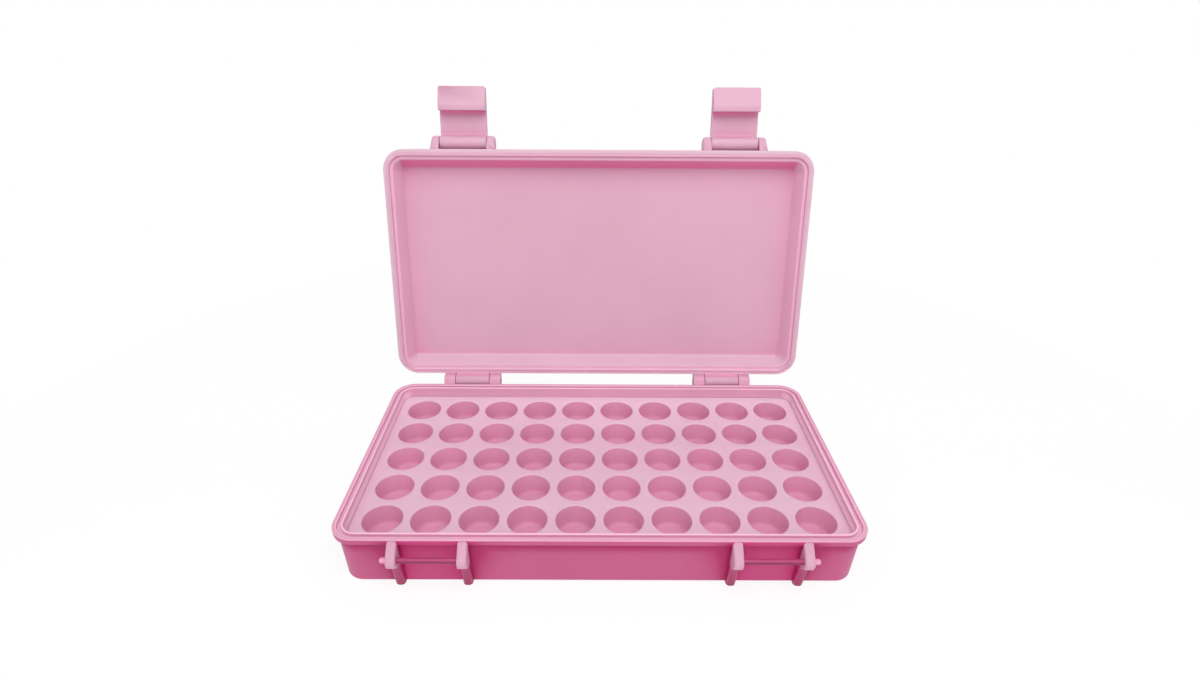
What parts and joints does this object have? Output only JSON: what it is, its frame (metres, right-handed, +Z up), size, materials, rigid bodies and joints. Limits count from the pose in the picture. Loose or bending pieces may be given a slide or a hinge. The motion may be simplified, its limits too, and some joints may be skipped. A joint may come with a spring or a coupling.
{
  "type": "bobbin box",
  "caption": "Hinged moulded plastic case whose drop-in tray holds sewing-machine bobbins in a grid of round wells; two swing latches hook its lid shut.",
  "frame": {"origin": "centre of the flat underside of the tub", "axes": "+X along the long side to the right, +Y from the latches to the hinges, +Z up"},
  "size_m": [0.272, 0.2205, 0.2103],
  "materials": {
    "tub_plastic": "satin moulded, slightly soft sheen",
    "tray_plastic": "satin moulded, slightly soft sheen",
    "lid_plastic": "satin moulded, slightly soft sheen",
    "latch_plastic": "satin moulded, slightly soft sheen",
    "pin_plastic": "satin moulded, slightly soft sheen"
  },
  "bodies": {
    "tub": {"base_shell": "tub_plastic", "bobbin_tray": "tray_plastic", "catch_bar_left": "pin_plastic", "catch_bar_right": "pin_plastic", "hinge_pin_left": "pin_plastic", "hinge_pin_right": "pin_plastic"},
    "lid": {"lid_shell": "lid_plastic", "latch_pin_left": "pin_plastic", "latch_pin_right": "pin_plastic"},
    "left_latch": {"latch_left": "latch_plastic"},
    "right_latch": {"latch_right": "latch_plastic"}
  },
  "joints": [
    {"name": "lid_hinge", "type": "hinge", "parent": "tub", "child": "lid", "pos_m": [0, 0.0773, 0.0321], "axis": [1, 0, 0], "range_deg": [0, 105.6]},
    {"name": "left_latch_swing", "type": "hinge", "parent": "lid", "child": "left_latch", "pos_m": [-0.0856, 0.12642, 0.17828], "axis": [1, 0, 0], "range_deg": [-90, 90]},
    {"name": "right_latch_swing", "type": "hinge", "parent": "lid", "child": "right_latch", "pos_m": [0.0856, 0.12642, 0.17828], "axis": [1, 0, 0], "range_deg": [-90, 90]}
  ]
}
